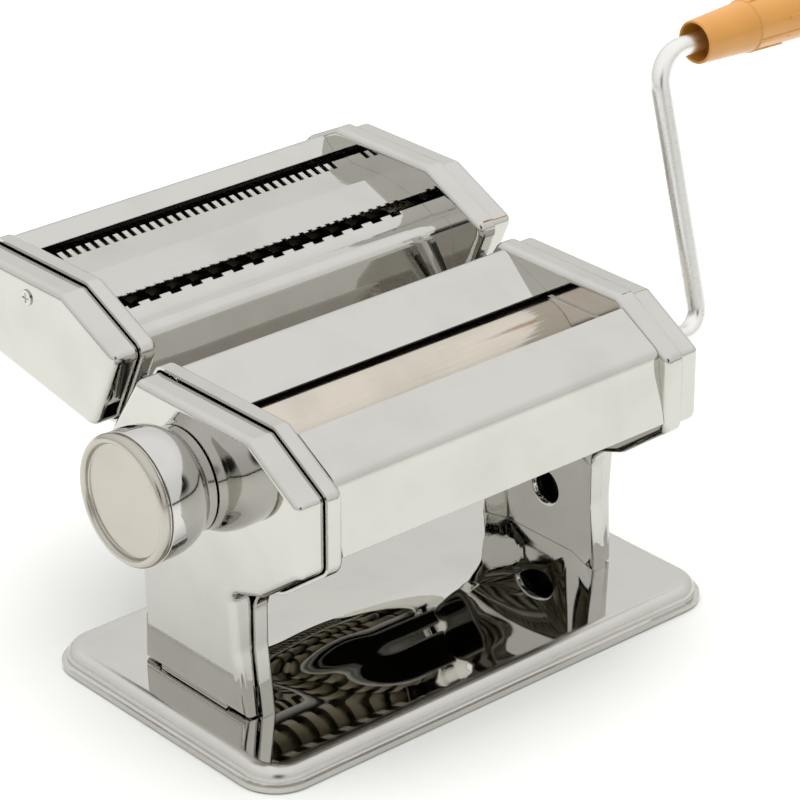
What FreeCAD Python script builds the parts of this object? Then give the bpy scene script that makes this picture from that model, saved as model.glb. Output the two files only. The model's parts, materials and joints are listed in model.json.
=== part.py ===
import FreeCAD, Part
import Sketcher
import math
import os
import re
from FreeCAD import Placement, Rotation, Vector

os.makedirs("parts", exist_ok=True)
doc = FreeCAD.newDocument("pasta_machine")
sheet = doc.addObject("Spreadsheet::Sheet", "Sizes")

# Millimetres. X runs along the rollers with the crank on +X, Y points to the cutter
# and Z up. The origin is the middle of the base at table level.
SIZES = {
    # clearances
    "running": 0.06,
    "press": 0.02,
    "sliding": 0.25,
    "slack": 0.4,
    # end plates and their covers, measured along X
    "wall_in": 75.0,
    "wall": 1.2,
    "rim": 7.3,
    "fold": 2.8,
    "leg_bend": 11.0,
    "plate_grow": 1.2,
    "lid_inset": 0.7,
    "lid_overlap": 0.3,
    "lid": 11.0,
    "lid_wall": 1.0,
    "lid_fold": 3.0,
    "lid_taper": 4.8,
    "taper_top": 78.0,
    # base
    "base_beyond": 25.0,
    "base_width": 127.9,
    "base_height": 8.0,
    "base_corner": 16.0,
    "base_lip": 2.0,
    "base_step": 1.8,
    "base_sheet": 1.0,
    "base_shoulder": 5.0,
    "base_inner_fold": 4.0,
    "pad_radius": 9.0,
    "pad_inset": 16.5,
    "foot_gap": 0.6,
    "tab_end": 4.6,
    "tab_half": 18.0,
    "tab_y": 3.0,
    "rivet_y": 12.0,
    "rivet_radius": 1.5,
    "rivet_head_radius": 2.1,
    "rivet_head": 1.3,
    # clamp hole and dished part of the legs
    "dish": 6.0,
    "dish_top": 50.0,
    "dish_end": 60.0,
    "dish_front": 31.0,
    "dish_front_crease": 13.0,
    "dish_rear_crease": 22.0,
    "dish_rear": 31.0,
    "dish_front_depth": 0.5,
    "dish_rear_depth": 2.5,
    "clamp_radius": 6.0,
    "clamp_lip": 1.4,
    "clamp_flare": 1.6,
    "clamp_depth": 2.6,
    "clamp_y": 2.0,
    "clamp_z": 29.0,
    # kneading rollers
    "roller_radius": 17.0,
    "roller_end": 1.3,
    "journal": 7.0,
    "front_axis_y": -38.2,
    "front_axis_z": 97.5,
    "nip": 0.4,
    "rear_axis_z": 94.5,
    "travel": 2.42,
    "bush_radius": 9.5,
    "bush_flange": 12.0,
    "bush_flange_thick": 1.6,
    "bush_long": 4.8,
    "gear_gap": 5.8,
    "gear_wide": 4.0,
    "gear_tip": 19.2,
    "gear_root": 14.9,
    "tooth_tip": 1.5,
    "tooth_root": 3.2,
    "socket_depth": 19.5,
    "socket_flats": 7.3,
    "socket_setback": 2.0,
    # bearing blocks of the movable roller
    "block_gap": 0.4,
    "block_thin": 4.0,
    "block_thick": 7.8,
    "block_front": -16.0,
    "block_mid": 12.0,
    "block_rear": 24.0,
    "block_low": 79.0,
    "block_shoulder": 90.0,
    "block_slope": 96.0,
    "block_high": 109.0,
    "window": 1.0,
    "bar_y": 19.0,
    "bar_z": 84.0,
    "bar_radius": 3.0,
    "bar_spigot": 2.2,
    "strip_high": 3.5,
    "strip_wide": 4.0,
    # thickness regulator
    "regulator_y": -2.6,
    "regulator_z": 94.5,
    "throw": 1.22,
    "start_angle": 80.0,
    "pin_radius": 2.5,
    "pin_long": 2.4,
    "pin_slot_half": 4.3,
    "pin_slot_deep": 2.8,
    "disc_radius": 8.0,
    "disc_thick": 3.0,
    "disc_gap": 0.6,
    "shaft_radius": 6.0,
    "regulator_bush_radius": 8.0,
    "regulator_bush_flange": 10.0,
    "square": 7.5,
    "square_end": 20.0,
    "knob_gap": 0.4,
    "knob_screw_radius": 1.8,
    "index_radius": 1.6,
    "index_circle": 13.0,
    "index_long": 2.6,
    "knob_long": 22.6,
    "knob_hub": 7.6,
    "knob_bore": 9.0,
    "spring_wire": 0.5,
    "spring_radius": 6.5,
    "spring_turns": 6.0,
    # crank
    "rod_radius": 3.7,
    "hex_flats": 7.0,
    "hex_gap": 0.5,
    "arm_x": 119.5,
    "arm_long": 102.0,
    "arm_lean": 15.66,
    "lower_bend": 8.8,
    "upper_bend": 13.0,
    "grip_start": 139.5,
    "grip_end": 232.0,
    "grip_mouth": 6.8,
    "retainer_radius": 6.0,
    "retainer_thick": 2.0,
    "eyelet_radius": 5.5,
    "eyelet_flange": 7.5,
    "eyelet_bore": 4.5,
    # rods, nuts and posts of the main frame
    "rod_thick": 3.0,
    "rod_thread": 2.2,
    "nut_corner": 4.0,
    "nut_thick": 3.0,
    "post_radius": 3.0,
    # sheet metal between the end plates
    "panel": 0.8,
    "scraper": 0.6,
    "scraper_gap": 0.4,
    "guide": 1.0,
    # cutter
    "cutter_root": 7.4,
    "cutter_tip": 10.2,
    "cutter_journal": 6.2,
    "cutter_bush_radius": 7.6,
    "cutter_bush_flange": 8.7,
    "cutter_bush_long": 2.6,
    "cutter_end": 1.6,
    "cutter_pitch": 18.0,
    "cutter_out": 19.0,
    "cutter_rise": 15.5,
    "narrow_back": 40.0,
    "narrow_rise": 6.0,
    "wide_step": 9.43,
    "wide_disc": 4.3,
    "narrow_step": 4.18,
    "narrow_disc": 1.77,
    "cutter_gear_gap": 2.4,
    "cutter_gear_tip": 10.3,
    "cutter_tooth_tip": 1.0,
    "cutter_tooth_root": 2.2,
    "cutter_rod": 2.2,
    "cutter_thread": 1.6,
    "cutter_nut_corner": 2.8,
    "cutter_nut_thick": 1.8,
    "screw_back": 24.2,
    "screw_rise": 20.8,
    "cutter_screw_radius": 1.4,
    "cutter_head_radius": 3.0,
    "cutter_head": 0.6,
    "cutter_recess": 0.4,
    "cutter_post_radius": 2.3,
    # hanger rails that carry the cutter
    "rail_web": 2.0,
    "rail_head": 4.2,
    "rail_thick": 1.2,
    "rail_low": 9.0,
    "rail_high": 26.0,
    "rail_x": 79.0,
}

# Sizes that follow others. The cutter is placed from the rear corner of the roller housing.
FOLLOWING = {
    "rear_axis_y": "front_axis_y + 2 * roller_radius + nip",
    "base_length": "2 * (wall_in + rim + base_beyond)",
    "pad_x": "base_length / 2 - pad_inset",
    "pad_y": "base_width / 2 - pad_inset",
    "wide_y": "main_corner_y_1x + cutter_out",
    "wide_z": "main_corner_z_1x + cutter_rise",
    "narrow_y": "wide_y + narrow_back",
    "narrow_z": "wide_z + narrow_rise",
    "cutter_screw_y": "wide_y + screw_back",
    "cutter_screw_z": "wide_z + screw_rise",
}

# Corners of the outlines of the end plates, seen along X: Y, Z and corner radius. Those of
# the cutter are measured from the axis of its front wide roller.
MAIN = [
    (23.5, 122.8, 3.6), (41.0, 95.5, 7.0), (29.0, 62.0, 12.0), (26.6, 50.0, 8.0),
    (27.5, 34.0, 30.0), (30.8, 8.0, 0.0), (-28.6, 8.0, 0.0), (-25.6, 34.0, 30.0),
    (-25.6, 57.4, 5.0), (-42.0, 63.0, 10.0), (-64.5, 79.8, 5.0), (-64.5, 107.4, 3.6),
    (-38.5, 122.8, 3.6),
]
CUTTER = [
    (3.3, 29.5, 4.5), (55.0, 29.2, 5.0), (76.0, 18.6, 8.0), (71.0, -4.5, 8.0),
    (-12.5, -18.2, 6.5), (-27.8, 15.2, 4.5),
]
LEG_CORNER = 8
# Bent sheets, seen along X: the points of their visible side.
LINES = {
    "front_panel": [(-64.6, 82.8), (-61.3, 102.0), (-61.0, 109.5), (-42.0, 120.4)],
    "rear_panel": [(-3.4, 113.6), (20.5, 123.0), (37.5, 97.0), (38.5, 86.0)],
    "guide": [
        (-4.5, 112.6), (-34.0, 112.6), (-34.0, 108.0), (-29.5, 104.0),
        (-29.5, 84.0), (-12.5, 84.0), (-12.5, 104.0), (-4.5, 109.5),
    ],
    "tie": [(-57.8, 84.5), (26.0, 105.0), (-40.0, 71.5), (-1.0, 68.0)],
    "post": [(8.0, 116.5), (29.0, 97.0)],
}
# The same for the cutter, measured from the axis of its front wide roller.
CUTTER_LINES = {
    "front_sheet": [(-13.6, -12.0), (-11.4, 14.2), (-0.7, 12.8), (5.0, 15.3)],
    "centre_sheet": [(10.3, 16.8), (28.0, 19.9), (45.0, 19.2), (49.0, 20.3)],
    "rear_sheet": [(55.6, 20.6), (62.9, 26.3), (72.5, 15.0), (71.0, -2.0)],
    "cutter_tie": [(30.0, -5.6), (-8.5, -11.0), (64.5, 18.0), (30.5, 16.6)],
}
BENDS = {**LINES, **CUTTER_LINES}
for index, corner in enumerate(MAIN):
    for letter, number in zip("yzr", corner):
        SIZES[f"main_corner_{letter}_{index}x"] = number
for line, points in LINES.items():
    for index, point in enumerate(points):
        for letter, number in zip("yz", point):
            SIZES[f"{line}_{letter}_{index}x"] = number
for name, rule in FOLLOWING.items():
    SIZES[name] = "=" + rule
for index, (y, z, radius) in enumerate(CUTTER):
    SIZES[f"cutter_corner_y_{index}x"] = f"=wide_y + {y}"
    SIZES[f"cutter_corner_z_{index}x"] = f"=wide_z + {z}"
    SIZES[f"cutter_corner_r_{index}x"] = radius
for line, points in CUTTER_LINES.items():
    for index, point in enumerate(points):
        for letter, number in zip("yz", point):
            SIZES[f"{line}_{letter}_{index}x"] = f"=wide_{letter} + {number}"

for row, (name, number) in enumerate(SIZES.items(), 1):
    sheet.set(f"A{row}", name)
    sheet.set(f"B{row}", str(number))
    sheet.setAlias(f"B{row}", name)
doc.recompute()

PLATE_OUT = "wall_in + wall"
RIM = "wall_in + rim"
LID_OPEN = RIM + " - lid_overlap"
LID_FACE = LID_OPEN + " + lid"
LID_IN = LID_FACE + " - lid_wall"
ROLLER_END = "wall_in - roller_end"
GEAR_NEAR = PLATE_OUT + " + gear_gap"
BLOCK_NEAR = PLATE_OUT + " + block_gap"
SOCKET_MOUTH = LID_FACE + " - socket_setback"
DISC_NEAR = BLOCK_NEAR + " + block_thick + disc_gap"
DISC_FAR = DISC_NEAR + " + disc_thick"
KNOB_NEAR = LID_FACE + " + knob_gap"
CUTTER_GEAR_NEAR = PLATE_OUT + " + cutter_gear_gap"
RIVET_X = RIM + " + tab_end / 2"

nodes = []


def named(text):
    return re.sub(r"[a-z]\w*", lambda m: "Sizes." + m.group() if m.group() in SIZES else m.group(), text)


def read(text):
    return float(sheet.evalExpression(named(text)))


def bind(owner, prop, text):
    owner.setExpression(prop, named(text))


def keep(owner, node):
    owner.Label = node
    nodes.append(owner)
    return owner


def body(node):
    return keep(doc.addObject("PartDesign::Body", node), node)


def origin(owner, role):
    return [item for item in owner.Origin.OriginFeatures if item.Role == role][0]


def place(owner, x, y, z):
    for axis, text in zip("xyz", (x, y, z)):
        bind(owner, f"Placement.Base.{axis}", text)


def sketch(owner, plane, lift="0"):
    made = owner.newObject("Sketcher::SketchObject", owner.Name + "_sketch")
    made.AttachmentSupport = (origin(owner, plane), [""])
    made.MapMode = "FlatFace"
    bind(made, "AttachmentOffset.Base.z", lift)
    return made


def polygon(made, points):
    flat = [Vector(read(across), read(up), 0) for across, up in points]
    count = len(flat)
    first = made.GeometryCount
    for index in range(count):
        made.addGeometry(Part.LineSegment(flat[index], flat[(index + 1) % count]), False)
    for index in range(count):
        following = first + (index + 1) % count
        made.addConstraint(Sketcher.Constraint("Coincident", first + index, 2, following, 1))
    for index, (across, up) in enumerate(points):
        for kind, text, number in (("DistanceX", across, flat[index].x), ("DistanceY", up, flat[index].y)):
            place_of = made.addConstraint(Sketcher.Constraint(kind, -1, 1, first + index, 1, number))
            bind(made, f"Constraints[{place_of}]", text)


def circle(made, across, up, radius):
    centre = Vector(read(across), read(up), 0)
    curve = made.addGeometry(Part.Circle(centre, Vector(0, 0, 1), read(radius)), False)
    limits = (
        (Sketcher.Constraint("Radius", curve, read(radius)), radius),
        (Sketcher.Constraint("DistanceX", -1, 1, curve, 3, centre.x), across),
        (Sketcher.Constraint("DistanceY", -1, 1, curve, 3, centre.y), up),
    )
    for limit, text in limits:
        bind(made, f"Constraints[{made.addConstraint(limit)}]", text)


def extrude(owner, kind, profile, length, reverse=False):
    made = owner.newObject("PartDesign::" + kind, f"{owner.Name}_{kind}")
    made.Profile = profile
    bind(made, "Length", length)
    made.Reversed = reverse
    doc.recompute()
    return made


def turn(owner, points):
    profile = sketch(owner, "XY_Plane")
    polygon(profile, points)
    made = owner.newObject("PartDesign::Revolution", owner.Name + "_turned")
    made.Profile = profile
    made.ReferenceAxis = (profile, ["H_Axis"])
    made.Angle = 360
    doc.recompute()
    return made


def along(owner, made, length, count):
    repeat = owner.newObject("PartDesign::LinearPattern", owner.Name + "_row")
    repeat.Originals = [made]
    repeat.Direction = (origin(owner, "X_Axis"), [""])
    bind(repeat, "Length", length)
    repeat.Occurrences = count
    owner.Tip = repeat
    doc.recompute()
    return repeat


def smooth(owner, radius, test):
    last = owner.Tip
    names = [f"Edge{index}" for index, edge in enumerate(last.Shape.Edges, 1) if test(edge)]
    made = owner.newObject("PartDesign::Fillet", owner.Name + "_fillet")
    made.Base = (last, names)
    bind(made, "Radius", radius)
    doc.recompute()
    return made


def middle(edge):
    return edge.valueAt((edge.FirstParameter + edge.LastParameter) / 2)


def crosswise(points):
    spots = [(read(across), read(up)) for across, up in points]

    def test(edge):
        box = edge.BoundBox
        spot = middle(edge)
        near = [math.dist((spot.y, spot.z), other) < 0.05 for other in spots]
        return box.XLength > 10 and any(near)

    return test


def thicken(points, thick, side):
    """The other side of a bent sheet, each corner moved along its mitre."""
    flat = [Vector(read(across), read(up), 0) for across, up in points]
    moved = []
    for index, (across, up) in enumerate(points):
        before = flat[index] - flat[index - 1] if index else None
        after = flat[index + 1] - flat[index] if index + 1 < len(flat) else None
        before = before or after
        after = after or before
        normals = [Vector(-way.y, way.x, 0).normalize() * side for way in (before, after)]
        shift = (normals[0] + normals[1]) / (1 + normals[0].dot(normals[1]))
        moved.append((f"{across} + {shift.x:.5f} * {thick}", f"{up} + {shift.y:.5f} * {thick}"))
    return moved


def path(name):
    return [(f"{name}_y_{index}x", f"{name}_z_{index}x") for index in range(len(BENDS[name]))]


def bent_sheet(node, name, side, bends):
    """A bent sheet between the end plates, rounded by the listed radius at its inner corners."""
    owner = body(node)
    outside = path(name)
    inside = thicken(outside, "panel", side)
    profile = sketch(owner, "YZ_Plane", "-wall_in")
    polygon(profile, outside + inside[::-1])
    extrude(owner, "Pad", profile, "2 * wall_in")
    for index, radius, outer in bends:
        small, large = (inside, outside) if outer else (outside, inside)
        smooth(owner, radius, crosswise([small[index]]))
        smooth(owner, f"{radius} + panel", crosswise([large[index]]))
    return owner


def rod(side, near, far, radius, across, up):
    made = doc.addObject("Part::Cylinder", "rod")
    made.Placement = Placement(Vector(), Rotation(Vector(0, 1, 0), 90))
    bind(made, "Radius", radius)
    bind(made, "Height", f"({far}) - ({near})")
    place(made, near if side > 0 else f"-({far})", across, up)
    return made


def hexagon(side, near, far, corner, across, up):
    made = doc.addObject("Part::Prism", "hexagon")
    made.Polygon = 6
    made.Placement = Placement(Vector(), Rotation(Vector(0, 1, 0), 90))
    bind(made, "Circumradius", corner)
    bind(made, "Height", f"({far}) - ({near})")
    place(made, near if side > 0 else f"-({far})", across, up)
    return made


def post(low, high, radius, x, y):
    made = doc.addObject("Part::Cylinder", "post")
    bind(made, "Radius", radius)
    bind(made, "Height", f"({high}) - ({low})")
    place(made, x, y, low)
    return made


def box(x, y, z):
    made = doc.addObject("Part::Box", "box")
    for prop, (low, high) in zip(("Length", "Width", "Height"), (x, y, z)):
        bind(made, prop, f"({high}) - ({low})")
    place(made, x[0], y[0], z[0])
    return made


def joined(shapes):
    if len(shapes) == 1:
        return shapes[0]
    made = doc.addObject("Part::MultiFuse", "joined")
    made.Shapes = shapes
    return made


def less(shapes, holes):
    made = doc.addObject("Part::Cut", "less")
    made.Base = joined(shapes)
    made.Tool = joined(holes)
    return made


def rectangle(flat, half_across, half_up):
    signs = (("", ""), ("-", ""), ("-", "-"), ("", "-"))
    polygon(flat, [(f"{across}({half_across})", f"{up}({half_up})") for across, up in signs])


def both(x):
    return (x, f"-({x})")


def shifted(corners, distance):
    """Corners of an outline, given clockwise, moved inwards by a distance."""
    moved = []
    for index, (y, z, radius) in enumerate(corners):
        last = corners[index - 1]
        following = corners[(index + 1) % len(corners)]
        into = Vector(y - last[0], z - last[1], 0).normalize()
        out = Vector(following[0] - y, following[1] - z, 0).normalize()
        normals = [Vector(way.y, -way.x, 0) for way in (into, out)]
        shift = (normals[0] + normals[1]) * (distance / (1 + normals[0].dot(normals[1])))
        convex = into.x * out.y - into.y * out.x < 0
        bend = max(radius - distance, 0.3) if convex else radius + distance
        moved.append((y + shift.x, z + shift.y, bend if radius else 0))
    return moved


def outline(corners, x):
    ends = []
    for index, (y, z, radius) in enumerate(corners):
        spot = Vector(x, y, z)
        last = corners[index - 1]
        following = corners[(index + 1) % len(corners)]
        back = (Vector(x, last[0], last[1]) - spot).normalize()
        ahead = (Vector(x, following[0], following[1]) - spot).normalize()
        if not radius:
            ends.append((spot, spot, None))
            continue
        half = back.getAngle(ahead) / 2
        reach = radius / math.tan(half)
        top = spot + (back + ahead).normalize() * (radius / math.sin(half) - radius)
        ends.append((spot + back * reach, spot + ahead * reach, top))
    edges = []
    for index, (start, end, top) in enumerate(ends):
        if top:
            edges.append(Part.Arc(start, top, end).toShape())
        edges.append(Part.LineSegment(end, ends[(index + 1) % len(ends)][0]).toShape())
    return Part.Face(Part.Wire(edges))


def slab(points, x, depth):
    """A flat outline of Y and Z points at x, made solid along X."""
    wire = Part.makePolygon([Vector(x, y, z) for y, z in points + points[:1]])
    return Part.Face(wire).extrude(Vector(depth, 0, 0))


def tube(side, near, far, radius, y, z):
    return Part.makeCylinder(radius, far - near, Vector(side * near, y, z), Vector(side, 0, 0))


def rounded(shape, side, radius):
    """Fillet all round the flat end that faces outwards on this side."""
    rim = []
    for edge in shape.Edges:
        spot = middle(edge)
        flat = []
        for face in shape.ancestorsOfType(edge, Part.Face):
            normal = face.normalAt(*face.Surface.parameter(spot))
            flat.append(normal.x * side > 0.9)
        if flat.count(True) == 1:
            rim.append(edge)
    return shape.makeFillet(radius, rim)


def pan(corners, side, opening, bottom, thick, fold, taper=0.0, taper_top=0.0, foot=0.0):
    """A pressed pan: open at one x, its bottom at another, with a bottom that may lean in."""
    facing = side if bottom > opening else -side
    shells = []
    for inset, radius in ((0.0, fold), (thick, fold - thick)):
        end = bottom - inset if bottom > opening else bottom + inset
        start = opening if not inset else opening + (opening - end) / abs(opening - end)
        block = outline(shifted(corners, inset), side * start).extrude(Vector(side * (end - start), 0, 0))
        if taper:
            beyond = 300
            lean = taper / (taper_top - foot)
            low = end - lean * (taper_top - foot + 50)
            wedge = [(end, taper_top), (end + 40, taper_top), (end + 40, foot - 50), (low, foot - 50)]
            wire = Part.makePolygon([Vector(side * x, -beyond, z) for x, z in wedge + wedge[:1]])
            block = block.cut(Part.Face(wire).extrude(Vector(0, 2 * beyond, 0)))
        shells.append(rounded(block, facing, radius))
    return shells


def dish(side, extra):
    """The hollow pressed into the inner face of a leg, enlarged by the sheet for its outer side."""
    near = read("wall_in")
    deep = near + read("dish")
    rear = near + read("dish_rear_depth")
    beyond = read("base_width")
    section = [
        (-beyond, near), (-read("dish_front"), near + read("dish_front_depth")),
        (-read("dish_front_crease"), deep), (read("dish_rear_crease"), deep),
        (read("dish_rear"), rear), (beyond, rear),
    ]
    wires = []
    for z, depth in ((-10.0, 1.0), (read("dish_top"), 1.0), (read("dish_end") + extra, 0.0)):
        points = [Vector(side * (near + (x - near) * depth + extra), y, z) for y, x in section]
        points = [Vector(side * near / 2, -beyond, z)] + points + [Vector(side * near / 2, beyond, z)]
        wires.append(Part.makePolygon(points + points[:1]))
    return Part.makeLoft(wires, True, True)


def made_by_hand(node, shape):
    made = doc.addObject("Part::Feature", node)
    made.Shape = shape
    made.Placement = Placement()
    return keep(made, node)


def corners_of(name, count):
    return [tuple(read(f"{name}_corner_{letter}_{index}x") for letter in "yzr") for index in range(count)]


# base plate
base = body("base_plate")
for half_x, half_y, height in (
    ("base_length / 2", "base_width / 2", "base_lip"),
    ("base_length / 2 - base_step", "base_width / 2 - base_step", "base_height"),
):
    flat = sketch(base, "XY_Plane")
    rectangle(flat, half_x, half_y)
    extrude(base, "Pad", flat, height)
inner = [f"{side} / 2 - base_step - base_sheet" for side in ("base_length", "base_width")]
flat = sketch(base, "XY_Plane")
rectangle(flat, *inner)
extrude(base, "Pocket", flat, "base_height - base_sheet", reverse=True)
lip = read("base_lip")
roof = read("base_height - base_sheet")
half_inner = read(inner[0])


def upright(low, high, x):
    """Edges that stand up between two heights at one distance from the middle."""
    def test(edge):
        box = edge.BoundBox
        square = box.XLength < 0.01 and box.YLength < 0.01
        tall = abs(box.ZMin - low) < 0.1 and abs(box.ZMax - high) < 0.1
        return square and tall and abs(abs(box.XMax) - x) < 0.1

    return test


smooth(base, "base_corner - base_step - base_sheet", upright(0, roof, half_inner))
smooth(base, "base_inner_fold",
       lambda edge: edge.BoundBox.ZMin > roof - 0.01 and edge.BoundBox.ZMax < roof + 0.01)
smooth(base, "base_corner - base_step",
       upright(lip, read("base_height"), read("base_length / 2 - base_step")))
smooth(base, "base_corner", upright(0, lip, read("base_length / 2")))
top = read("base_height")
smooth(base, "base_shoulder", lambda edge: edge.BoundBox.ZMin > top - 0.01)
holes = sketch(base, "XY_Plane", "base_height + 1")
for x in both(RIVET_X):
    for y in ("tab_y - rivet_y", "tab_y + rivet_y"):
        circle(holes, x, y, "rivet_radius + press")
extrude(base, "Pocket", holes, "base_sheet + 2")

keep(joined([post("0", "base_height - base_sheet", "pad_radius", x, y)
             for x in both("pad_x") for y in both("pad_y")]), "rubber_feet")

rivets = []
for x in both(RIVET_X):
    for y in ("tab_y - rivet_y", "tab_y + rivet_y"):
        roof = "base_height - base_sheet"
        rivets.append(post(f"{roof} - rivet_head", roof, "rivet_head_radius", x, y))
        rivets.append(post(f"{roof} - 0.5", "base_height + wall + 0.5", "rivet_radius", x, y))
        foot = "base_height + wall"
        rivets.append(post(foot, f"{foot} + rivet_head", "rivet_head_radius", x, y))
keep(joined(rivets), "foot_rivets")

# end plates and covers of the roller housing
main_corners = corners_of("main", len(MAIN))
cutter_corners = corners_of("cutter", len(CUTTER))
grow = read("plate_grow")
main_plate = [(y, max(z, read("base_height")), radius) for y, z, radius in shifted(main_corners, -grow)]
main_plate[LEG_CORNER] = (*main_plate[LEG_CORNER][:2], read("leg_bend"))
main_lid = shifted(main_corners, read("lid_inset"))
cutter_plate = shifted(cutter_corners, -grow)
cutter_lid = shifted(cutter_corners, read("lid_inset"))
slide_low = cutter_plate[4]
slide_high = cutter_plate[5]
up_way = Vector(slide_high[0] - slide_low[0], slide_high[1] - slide_low[1], 0).normalize()
in_way = Vector(up_way.y, -up_way.x, 0)


def rail_point(height, depth):
    spot = Vector(slide_low[0], slide_low[1], 0) + up_way * height + in_way * depth
    return (spot.x, spot.y)


wall_in = read("wall_in")
plate_out = read(PLATE_OUT)
rim_end = read(RIM)
lid_open = read(LID_OPEN)
lid_face = read(LID_FACE)
travel = read("travel")
ties = [(read(y), read(z)) for y, z in path("tie")]
cutter_ties = [(read(y), read(z)) for y, z in path("cutter_tie")]
tab = [read(f"tab_y {sign} tab_half") for sign in "-+"]
clamp_y = read("clamp_y")
clamp_z = read("clamp_z")

for word, side in (("left", -1), ("right", 1)):
    outer, cavity = pan(main_plate, side, rim_end, wall_in, read("wall"), read("fold"))
    outer = outer.cut(dish(side, 0.0))
    shape = outer.cut(cavity.cut(dish(side, read("wall"))))
    lip_start = wall_in + read("dish")
    lip_end = lip_start + read("wall + clamp_depth")
    shape = shape.fuse(tube(side, lip_start, lip_end, read("clamp_radius + clamp_lip"), clamp_y, clamp_z))
    holes = [
        tube(side, lip_start - 1, lip_end + 1, read("clamp_radius"), clamp_y, clamp_z),
        Part.makeCone(read("clamp_radius + clamp_flare"), read("clamp_radius"), read("clamp_flare"),
                      Vector(side * lip_start, clamp_y, clamp_z), Vector(side, 0, 0)),
    ]
    front_centre = (read("front_axis_y"), read("front_axis_z"))
    holes.append(tube(side, wall_in - 1, plate_out + 1, read("bush_radius"), *front_centre))
    for radius, y, z in (
        (read("journal + window"), read("rear_axis_y"), read("rear_axis_z")),
        (read("bar_radius") + 0.6, read("bar_y"), read("bar_z")),
    ):
        holes.append(tube(side, wall_in - 1, plate_out + 1, radius, y, z))
        holes.append(tube(side, wall_in - 1, plate_out + 1, radius, y + travel, z))
        corners = [(y, z - radius), (y + travel, z - radius), (y + travel, z + radius), (y, z + radius)]
        holes.append(slab(corners, side * (wall_in - 1), side * (plate_out - wall_in + 2)))
    for y, z in ties:
        holes.append(tube(side, wall_in - 1, plate_out + 1, read("rod_thread + press"), y, z))
    floor = read("base_height")
    tab_end = rim_end + read("tab_end")
    tab_start = wall_in + read("dish") + 0.3
    shape = shape.fuse(slab([(tab[0], floor), (tab[1], floor), (tab[1], floor + read("wall")),
                             (tab[0], floor + read("wall"))], side * tab_start, side * (tab_end - tab_start)))
    for y in ("tab_y - rivet_y", "tab_y + rivet_y"):
        start = Vector(side * read(RIVET_X), read(y), floor - 1)
        holes.append(Part.makeCylinder(read("rivet_radius + press"), read("wall") + 2, start))
    made_by_hand(word + "_inner_plate", shape.cut(holes).removeSplitter())

    lid_foot = read("base_height + foot_gap")
    raised = [(y, max(z, lid_foot), radius) for y, z, radius in main_lid]
    outer, cavity = pan(raised, side, lid_open, lid_face, read("lid_wall"), read("lid_fold"),
                        read("lid_taper"), read("taper_top"), lid_foot)
    lid = outer.cut(cavity)
    if side < 0:
        centre = (read("regulator_y"), read("regulator_z"))
        holes = [tube(side, lid_open, lid_face + 1, read("regulator_bush_radius"), *centre)]
        index_z = centre[1] + read("index_circle")
        holes.append(tube(side, lid_open, lid_face + 1, read("index_radius"), centre[0], index_z))
    else:
        holes = [tube(side, lid_open, lid_face + 1, read("eyelet_radius"), *front_centre)]
    reach = read("base_width")
    for low, high, end in ((tab[0] - 1, tab[1] + 1, tab_end + 0.35), (-reach, reach, rim_end + 0.3)):
        corners = [(low, floor), (high, floor), (high, floor + 3), (low, floor + 3)]
        holes.append(slab(corners, side * (lid_open - 1), side * (end - lid_open + 1)))
    made_by_hand(word + "_outer_cover", lid.cut(holes))

# sheet metal over the rollers
bent_sheet("front_panel", "front_panel", -1, [(2, "panel * 6", True)])
bent_sheet("rear_hopper_panel", "rear_panel", -1, [(1, "panel * 2", True)])
for word, side in (("left", -1), ("right", 1)):
    owner = body(word + "_side_guide")
    profile = sketch(owner, "YZ_Plane", "wall_in" if side > 0 else "-wall_in")
    polygon(profile, path("guide"))
    extrude(owner, "Pad", profile, "guide", reverse=side > 0)

# tie rods, nuts and posts
rod_steps = (("wall_in", "rod_thick"), (f"{PLATE_OUT} + nut_thick + 1", "rod_thread"))
keep(joined([rod(1, f"-({x})", x, radius, y, z) for y, z in path("tie") for x, radius in rod_steps]),
     "tie_rods")
nuts = []
bores = []
for side in (-1, 1):
    for y, z in path("tie"):
        nuts.append(hexagon(side, PLATE_OUT, f"{PLATE_OUT} + nut_thick", "nut_corner", y, z))
        bores.append(rod(side, "wall_in", f"{PLATE_OUT} + nut_thick + 2", "rod_thread + press", y, z))
keep(less(nuts, bores), "tie_rod_nuts")
keep(joined([rod(side, PLATE_OUT, LID_IN, "post_radius", y, z)
             for side in (-1, 1) for y, z in path("post")]), "cover_posts")

# scrapers under the rollers
def scraper(node, axis, way, rod_index, shift):
    owner = body(node)
    profile = sketch(owner, "YZ_Plane", f"-({ROLLER_END} - 2)")
    length = math.hypot(0.5, 0.866)
    across = f"{way * 0.5 / length:.5f}"
    up = f"{-0.866 / length:.5f}"
    reach = "(roller_radius + scraper_gap + scraper / 2)"
    tip = (f"{axis}_y + {across} * {reach}", f"{axis}_z + {up} * {reach}")
    seat = (f"tie_y_{rod_index}x + {shift} * 0.707 * (rod_thick + scraper)",
            f"tie_z_{rod_index}x + 0.707 * (rod_thick + scraper)")
    line = [tip, seat]
    polygon(profile, line + thicken(line, "scraper", -way)[::-1])
    extrude(owner, "Pad", profile, f"2 * ({ROLLER_END} - 2)")
    return owner


scraper("front_scraper", "front_axis", 1, 2, 1)
scraper("rear_scraper", "rear_axis", -1, 3, -1)

# guides of the bearing blocks
strips = []
for side in (-1, 1):
    near = PLATE_OUT
    far = f"{PLATE_OUT} + strip_wide"
    x = (near, far) if side > 0 else (f"-({far})", f"-({near})")
    above = "block_high + sliding"
    below = "block_low - sliding"
    strips.append(box(x, ("block_front", "block_mid"), (above, f"{above} + strip_high")))
    strips.append(box(x, ("block_front", "block_rear"), (f"{below} - strip_high", below)))
keep(joined(strips), "block_guides")

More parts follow.
